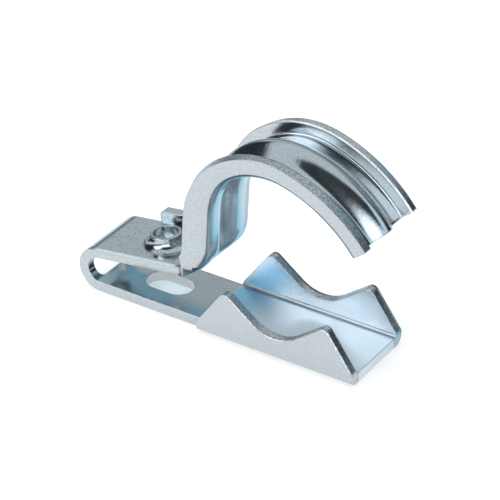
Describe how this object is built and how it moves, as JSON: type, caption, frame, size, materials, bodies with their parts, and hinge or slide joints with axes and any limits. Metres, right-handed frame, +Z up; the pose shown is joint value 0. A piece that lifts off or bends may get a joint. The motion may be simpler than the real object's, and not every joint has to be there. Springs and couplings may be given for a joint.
{
  "type": "conduit clip",
  "caption": "One-piece pressed steel conduit clip: a folded base with a vee-cut saddle, and a ribbed hook arm that a screw through the tapped collar draws down on the conduit.",
  "frame": {"origin": "centre of the screw slot, on the underside of the base", "axes": "+X along the base from the folded end towards the saddle, +Y across the strip towards the edge with the lip, +Z up from the base towards the arch"},
  "size_m": [0.0889, 0.0254, 0.057],
  "materials": {
    "zinc_steel": "bright zinc plate on pressed strip"
  },
  "bodies": {
    "root": {"clip_body": "zinc_steel"}
  },
  "joints": []
}
